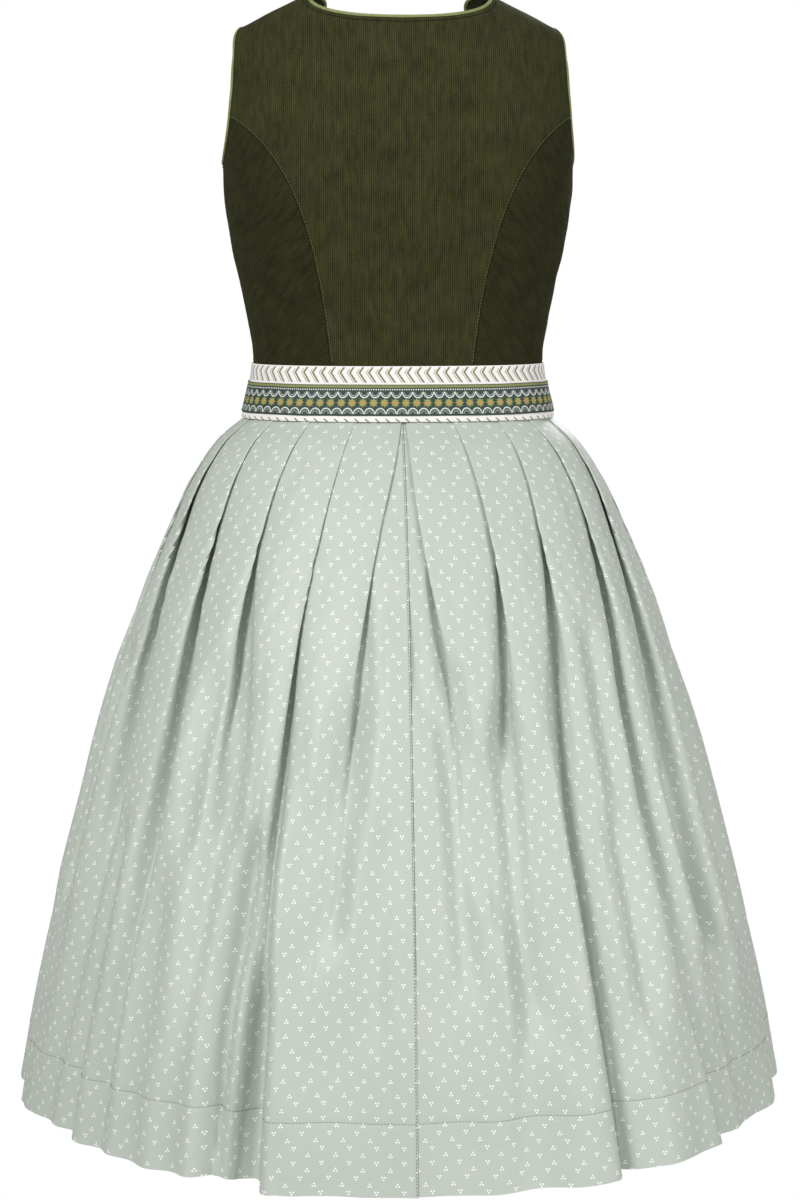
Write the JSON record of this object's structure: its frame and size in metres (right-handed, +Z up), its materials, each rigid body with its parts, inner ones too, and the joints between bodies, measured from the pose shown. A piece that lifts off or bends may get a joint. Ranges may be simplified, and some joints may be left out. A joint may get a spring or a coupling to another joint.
{
  "type": "dirndl dress",
  "caption": "Sleeveless dirndl dress: fitted corduroy bodice with curved seams and piping, patterned waistband with a woven ribbon, and a full pressed-pleat skirt.",
  "frame": {"origin": "midway between the wearer's shoulders, at the height where the shoulder seams meet the neckline, where the wearer holds the dress up", "axes": "+Z up, the front of the dress faces -Y, the wearer's left is +X"},
  "size_m": [0.7574, 0.682, 1.0477],
  "materials": {
    "corduroy": "fine-wale cotton corduroy, dark moss green",
    "piping": "woven piping, light moss green",
    "waistband": "white cotton with a printed olive chevron",
    "ribbon": "jacquard-woven ribbon, dark teal with white and ochre ornament",
    "skirt_cloth": "pale sage cotton with a small white dot print",
    "button": "plain dark horn-like button"
  },
  "bodies": {
    "root": {"bodice_back": "corduroy", "bodice_side_back_left": "corduroy", "bodice_side_back_right": "corduroy", "bodice_side_front_left": "corduroy", "bodice_side_front_right": "corduroy", "bodice_front_left": "corduroy", "bodice_front_right": "corduroy", "piping_neck": "piping", "piping_armhole_left": "piping", "piping_armhole_right": "piping", "waistband": "waistband", "ribbon": "ribbon", "skirt_left": "skirt_cloth", "skirt_right": "skirt_cloth", "button_1": "button", "button_2": "button", "button_3": "button", "button_4": "button", "button_5": "button", "button_6": "button", "button_7": "button"}
  },
  "joints": []
}
